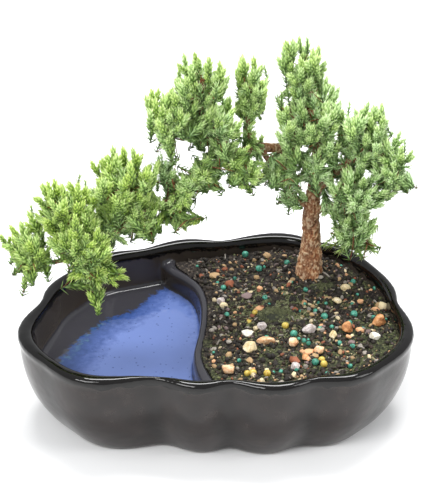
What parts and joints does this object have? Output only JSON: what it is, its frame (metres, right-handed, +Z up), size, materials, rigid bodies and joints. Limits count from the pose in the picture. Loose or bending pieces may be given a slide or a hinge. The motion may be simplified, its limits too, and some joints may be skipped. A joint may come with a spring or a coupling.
{
  "type": "bonsai juniper in a land-and-water pot",
  "caption": "Juniper bonsai with one long limb cascading over the pond of a scalloped black glazed pot; the other side holds soil, gravel and moss",
  "frame": {"origin": "the middle of the pot's flat underside, on the surface that it stands on", "axes": "+Z up, +X along the pot's long side from the pond to the soil, -Y towards the front"},
  "size_m": [0.2576, 0.191, 0.227],
  "materials": {
    "glazed_stoneware": "thick black gloss glaze over slip-cast stoneware, with a pool of mottled cobalt blue glaze in the pond",
    "potting_soil": null,
    "screen_plastic": "black extruded drain mesh",
    "juniper_bark": "flaky red-brown living bark, paler and orange at the foot",
    "juniper_foliage": null,
    "moss": "low dark green moss",
    "cream_stone": "smooth cream pea gravel",
    "peach_stone": "smooth peach pea gravel",
    "white_stone": "off-white quartz gravel",
    "grey_stone": "pinkish grey gravel",
    "amber_stone": "amber and rust gravel",
    "teal_bead": "teal resin-coated fertiliser bead",
    "yellow_bead": "yellow resin-coated fertiliser bead"
  },
  "bodies": {
    "root": {"pot": "glazed_stoneware", "soil": "potting_soil", "drain_screen_back": "screen_plastic", "drain_screen_front": "screen_plastic", "moss_front": "moss", "moss_trunk": "moss", "trunk": "juniper_bark", "foliage_apex": "juniper_foliage", "foliage_crown": "juniper_foliage", "foliage_crown_left": "juniper_foliage", "foliage_crown_low": "juniper_foliage", "foliage_crown_back": "juniper_foliage", "foliage_right_upper": "juniper_foliage", "foliage_right_outer": "juniper_foliage", "foliage_right_lower": "juniper_foliage", "foliage_right_back": "juniper_foliage", "foliage_right_hanging": "juniper_foliage", "foliage_right_skirt": "juniper_foliage", "foliage_tall_spray": "juniper_foliage", "foliage_pad_top": "juniper_foliage", "foliage_pad_left": "juniper_foliage", "foliage_pad_right": "juniper_foliage", "foliage_pad_back": "juniper_foliage", "foliage_under_crown": "juniper_foliage", "foliage_trunk_spray": "juniper_foliage", "foliage_under_limb_spray": "juniper_foliage", "foliage_link_spray": "juniper_foliage", "foliage_limb_spray": "juniper_foliage", "foliage_tuft": "juniper_foliage", "foliage_cascade_top": "juniper_foliage", "foliage_cascade_left": "juniper_foliage", "foliage_cascade_tip": "juniper_foliage", "foliage_cascade_middle": "juniper_foliage", "foliage_cascade_back": "juniper_foliage", "foliage_cascade_right": "juniper_foliage", "foliage_cascade_hanging": "juniper_foliage", "stone_cream_large": "cream_stone", "stone_peach_long": "peach_stone", "stone_white_flat": "white_stone", "stone_pink_grey": "grey_stone", "stone_grey_large": "grey_stone", "stone_peach_round": "peach_stone", "stone_amber_upright": "amber_stone", "stone_cream_chip": "cream_stone", "stone_white_round": "white_stone", "stone_brown_rough": "amber_stone", "stone_tan_front": "peach_stone", "stone_peach_front": "peach_stone", "stone_rust_front": "amber_stone", "stone_lilac_front": "grey_stone", "stone_cream_mid": "cream_stone", "stone_cream_back": "cream_stone", "stone_grey_divider": "grey_stone", "fertiliser_bead_1": "teal_bead", "fertiliser_bead_2": "teal_bead", "fertiliser_bead_3": "teal_bead", "fertiliser_bead_4": "teal_bead", "fertiliser_bead_5": "teal_bead", "fertiliser_bead_6": "yellow_bead", "fertiliser_bead_7": "yellow_bead"}
  },
  "joints": []
}
